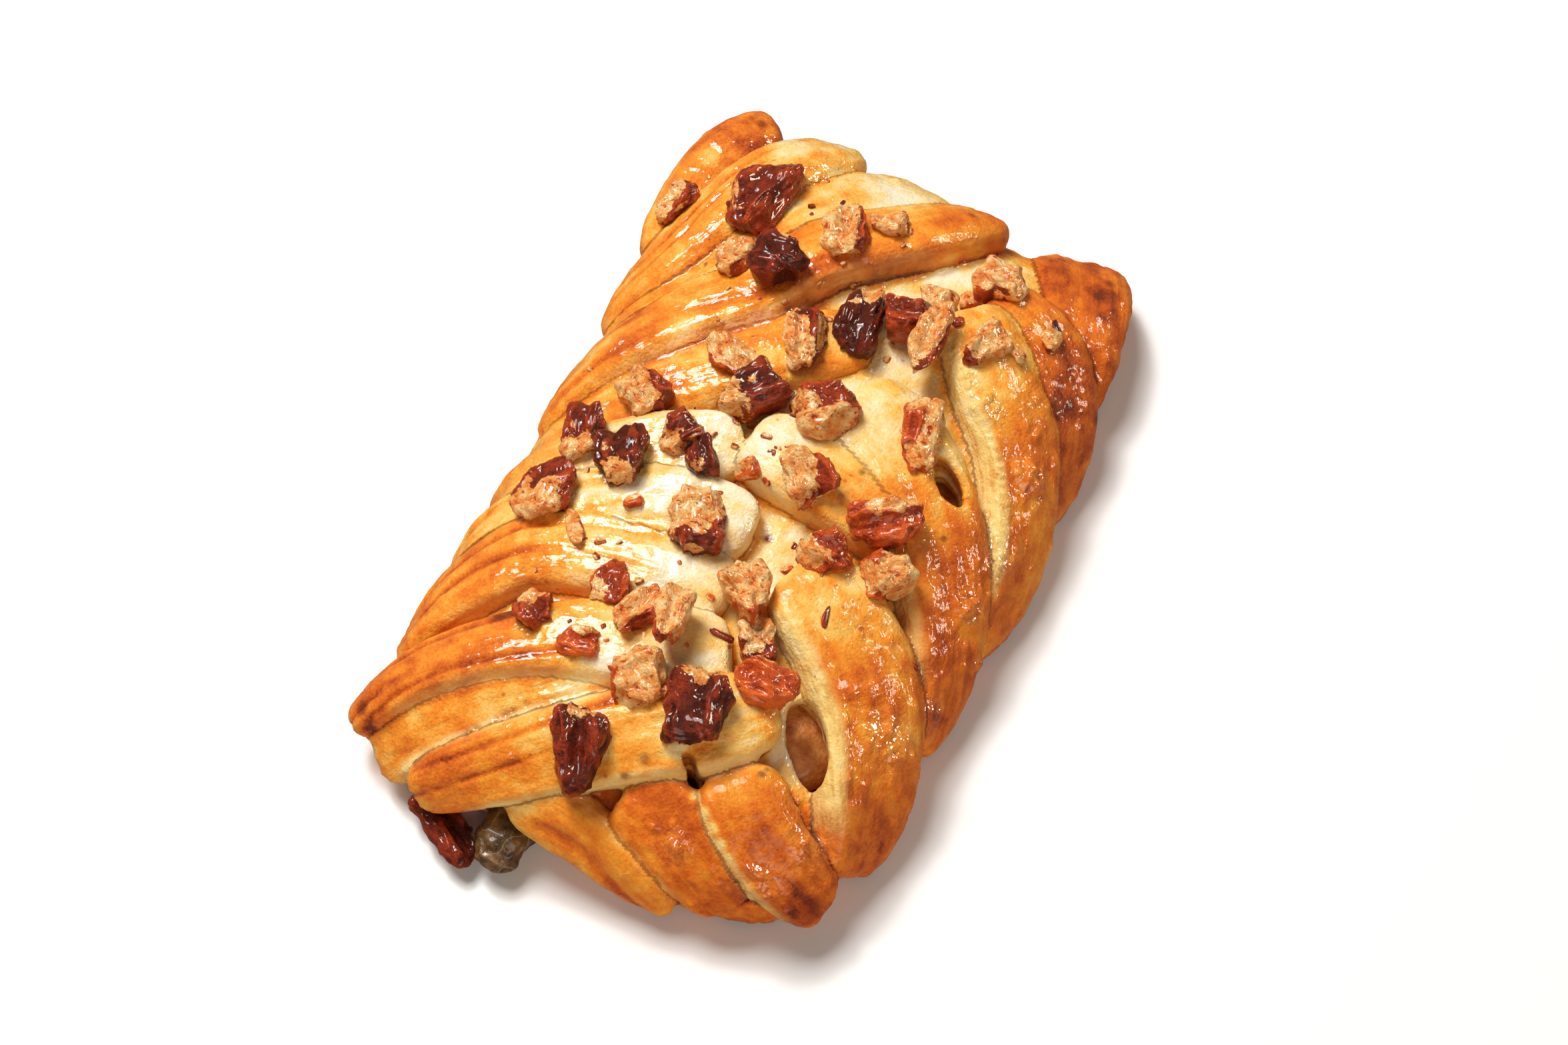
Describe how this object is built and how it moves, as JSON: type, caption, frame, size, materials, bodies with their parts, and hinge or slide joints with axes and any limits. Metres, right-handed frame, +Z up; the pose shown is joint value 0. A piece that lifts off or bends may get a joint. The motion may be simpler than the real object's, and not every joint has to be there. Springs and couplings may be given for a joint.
{
  "type": "danish pastry",
  "caption": "Oblong plaited danish pastry of folded dough strips over a maple filling, topped with chopped pecan pieces.",
  "frame": {"origin": "middle of the bounding box, on the flat baked underside", "axes": "+Z up; +Y along the pastry's length, from the near end where the filling comes out to the far end; +X to the right seen from the near end"},
  "size_m": [0.0822, 0.1344, 0.0308],
  "materials": {
    "dough": "baked laminated dough, golden to orange-brown, thinly glazed and glossy",
    "filling": "sticky brown maple filling",
    "pecan": "roasted red-brown skin with tan broken faces, glazed"
  },
  "bodies": {
    "root": {"dough": "dough", "filling": "filling", "pecan_01": "pecan", "pecan_02": "pecan", "pecan_03": "pecan", "pecan_04": "pecan", "pecan_05": "pecan", "pecan_06": "pecan", "pecan_07": "pecan", "pecan_08": "pecan", "pecan_09": "pecan", "pecan_10": "pecan", "pecan_11": "pecan", "pecan_12": "pecan", "pecan_13": "pecan", "pecan_14": "pecan", "pecan_15": "pecan", "pecan_16": "pecan", "pecan_17": "pecan", "pecan_18": "pecan", "pecan_19": "pecan", "pecan_20": "pecan", "pecan_21": "pecan", "pecan_22": "pecan", "pecan_23": "pecan", "pecan_24": "pecan", "pecan_25": "pecan", "pecan_26": "pecan", "pecan_27": "pecan", "pecan_28": "pecan", "pecan_29": "pecan", "pecan_30": "pecan", "pecan_31": "pecan", "pecan_32": "pecan", "pecan_33": "pecan", "pecan_34": "pecan", "pecan_35": "pecan", "pecan_36": "pecan", "pecan_37": "pecan", "pecan_38": "pecan", "pecan_39": "pecan", "pecan_40": "pecan"}
  },
  "joints": []
}
